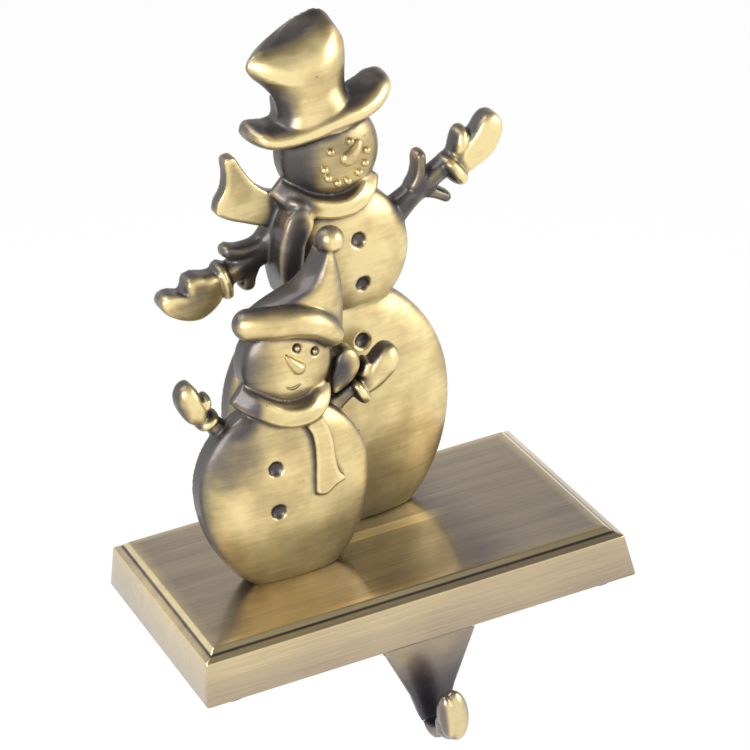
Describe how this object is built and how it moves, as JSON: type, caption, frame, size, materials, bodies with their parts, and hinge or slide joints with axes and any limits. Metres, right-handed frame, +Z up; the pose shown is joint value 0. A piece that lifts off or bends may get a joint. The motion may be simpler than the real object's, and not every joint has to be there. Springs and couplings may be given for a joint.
{
  "type": "mantel stocking holder",
  "caption": "Weighted cast stocking holder for a mantel shelf: rectangular stepped base, hook under its front edge, two relief-cast snowmen on top.",
  "frame": {"origin": "centre of the mantel face, in the plane of the undersides of the non-slip pads", "axes": "+Z up, +X along the base's long side to the right of someone who faces the hook, -Y towards the room, where the hook and the figures' faces look"},
  "size_m": [0.127, 0.0911, 0.1902],
  "materials": {
    "antique_brass_base": "brushed antique brass plating under clear lacquer",
    "antique_brass_hook": "antique brass plating, dark in the throat",
    "antique_brass_figures": "satin antique brass plating with dark patina in the creases",
    "zinc_screws": "zinc plated",
    "pad_rubber": "matt black"
  },
  "bodies": {
    "root": {"base_casting": "antique_brass_base", "hook": "antique_brass_hook", "large_snowman": "antique_brass_figures", "small_snowman": "antique_brass_figures", "figure_screws": "zinc_screws", "hook_screws": "zinc_screws", "non_slip_pads": "pad_rubber"}
  },
  "joints": []
}
